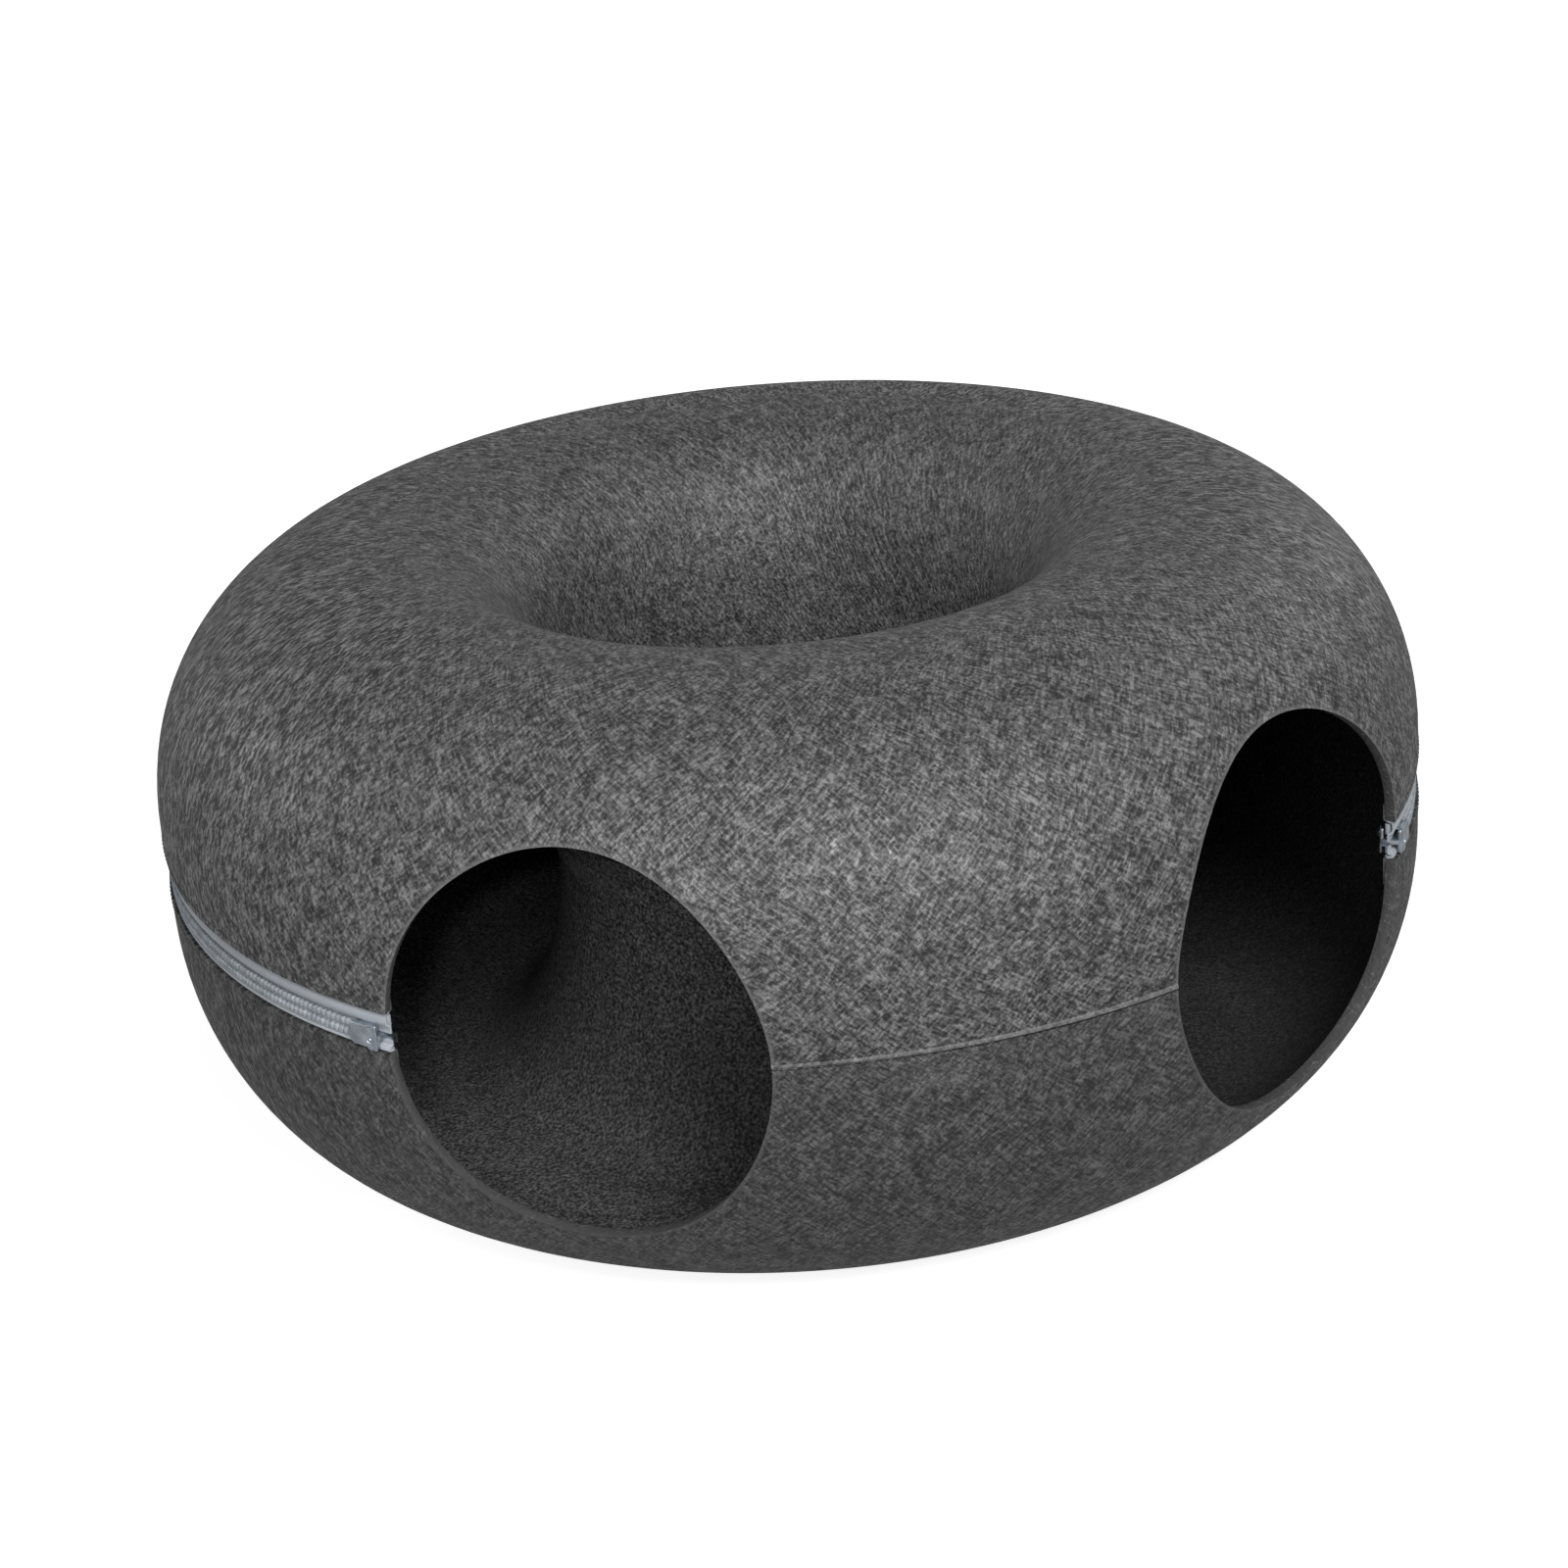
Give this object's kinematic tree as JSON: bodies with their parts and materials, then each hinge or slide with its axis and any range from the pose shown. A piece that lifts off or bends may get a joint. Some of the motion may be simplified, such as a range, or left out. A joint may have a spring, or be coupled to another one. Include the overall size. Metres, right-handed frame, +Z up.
{
  "type": "donut cat tunnel",
  "caption": "Ring-shaped felt tunnel bed for a cat, with side entrances, a centre hole and zips that let the upper half fold open on a sewn front seam.",
  "frame": {"origin": "centre of the base, where the axis of the ring meets the floor", "axes": "+Z up along the ring's axis, -Y towards the sewn seam between the two entrances, +X towards the right entrance seen from the front"},
  "size_m": [0.5, 0.5, 0.225],
  "materials": {
    "felt": "heather charcoal felt, matt, with lighter short fibres",
    "zip_tape": "woven tape, light blue-grey, matt",
    "zip_teeth": "nylon, light blue-grey, satin",
    "dark_tape": "woven tape, charcoal as the felt, matt",
    "dark_teeth": "nylon, charcoal, satin",
    "zip_metal": "plated die casting, silvery, satin"
  },
  "bodies": {
    "lower_half": {"lower_felt_shell": "felt", "outer_zip_lower_tape": "zip_tape", "outer_zip_lower_teeth": "zip_teeth", "outer_zip_right_end_stop": "zip_metal", "outer_zip_left_end_stop": "zip_metal", "inner_zip_lower_tape": "dark_tape", "inner_zip_lower_teeth": "dark_teeth", "inner_zip_right_end_stop": "zip_metal", "inner_zip_left_end_stop": "zip_metal"},
    "upper_half": {"upper_felt_shell": "felt", "outer_zip_upper_tape": "zip_tape", "outer_zip_upper_teeth": "zip_teeth", "inner_zip_upper_tape": "dark_tape", "inner_zip_upper_teeth": "dark_teeth"},
    "right_slider": {"outer_zip_right_slider": "zip_metal"},
    "left_slider": {"outer_zip_left_slider": "zip_metal"},
    "hole_slider": {"inner_zip_slider": "zip_metal"},
    "right_pull_tab": {"outer_zip_right_pull_tab": "zip_metal"},
    "left_pull_tab": {"outer_zip_left_pull_tab": "zip_metal"},
    "hole_pull_tab": {"inner_zip_pull_tab": "zip_metal"}
  },
  "joints": [
    {"name": "upper_half_fold", "type": "hinge", "parent": "lower_half", "child": "upper_half", "pos_m": [0, -0.25, 0.116], "axis": [1, 0, 0], "range_deg": [0, 179]},
    {"name": "right_slider_run", "type": "hinge", "parent": "lower_half", "child": "right_slider", "pos_m": [0, 0, 0.1136], "axis": [0, 0, 1], "range_deg": [0, 123], "deforming": ["outer_zip_lower_teeth", "outer_zip_upper_teeth"]},
    {"name": "left_slider_run", "type": "hinge", "parent": "lower_half", "child": "left_slider", "pos_m": [0, 0, 0.1136], "axis": [0, 0, -1], "range_deg": [0, 123], "deforming": ["outer_zip_lower_teeth", "outer_zip_upper_teeth"]},
    {"name": "hole_slider_run", "type": "hinge", "parent": "lower_half", "child": "hole_slider", "pos_m": [0, 0, 0.1136], "axis": [0, 0, 1], "range_deg": [0, 340], "deforming": ["inner_zip_lower_teeth", "inner_zip_upper_teeth"]},
    {"name": "right_pull_tab_turn", "type": "hinge", "parent": "right_slider", "child": "right_pull_tab", "pos_m": [0.19166, -0.14734, 0.1136], "axis": [0, 0, 1], "range_deg": [0, 170]},
    {"name": "left_pull_tab_turn", "type": "hinge", "parent": "left_slider", "child": "left_pull_tab", "pos_m": [-0.19166, -0.14734, 0.1136], "axis": [0, 0, -1], "range_deg": [0, 170]},
    {"name": "hole_pull_tab_turn", "type": "hinge", "parent": "hole_slider", "child": "hole_pull_tab", "pos_m": [0.01236, -0.09884, 0.1136], "axis": [0, 0, -1], "range_deg": [0, 170]}
  ]
}
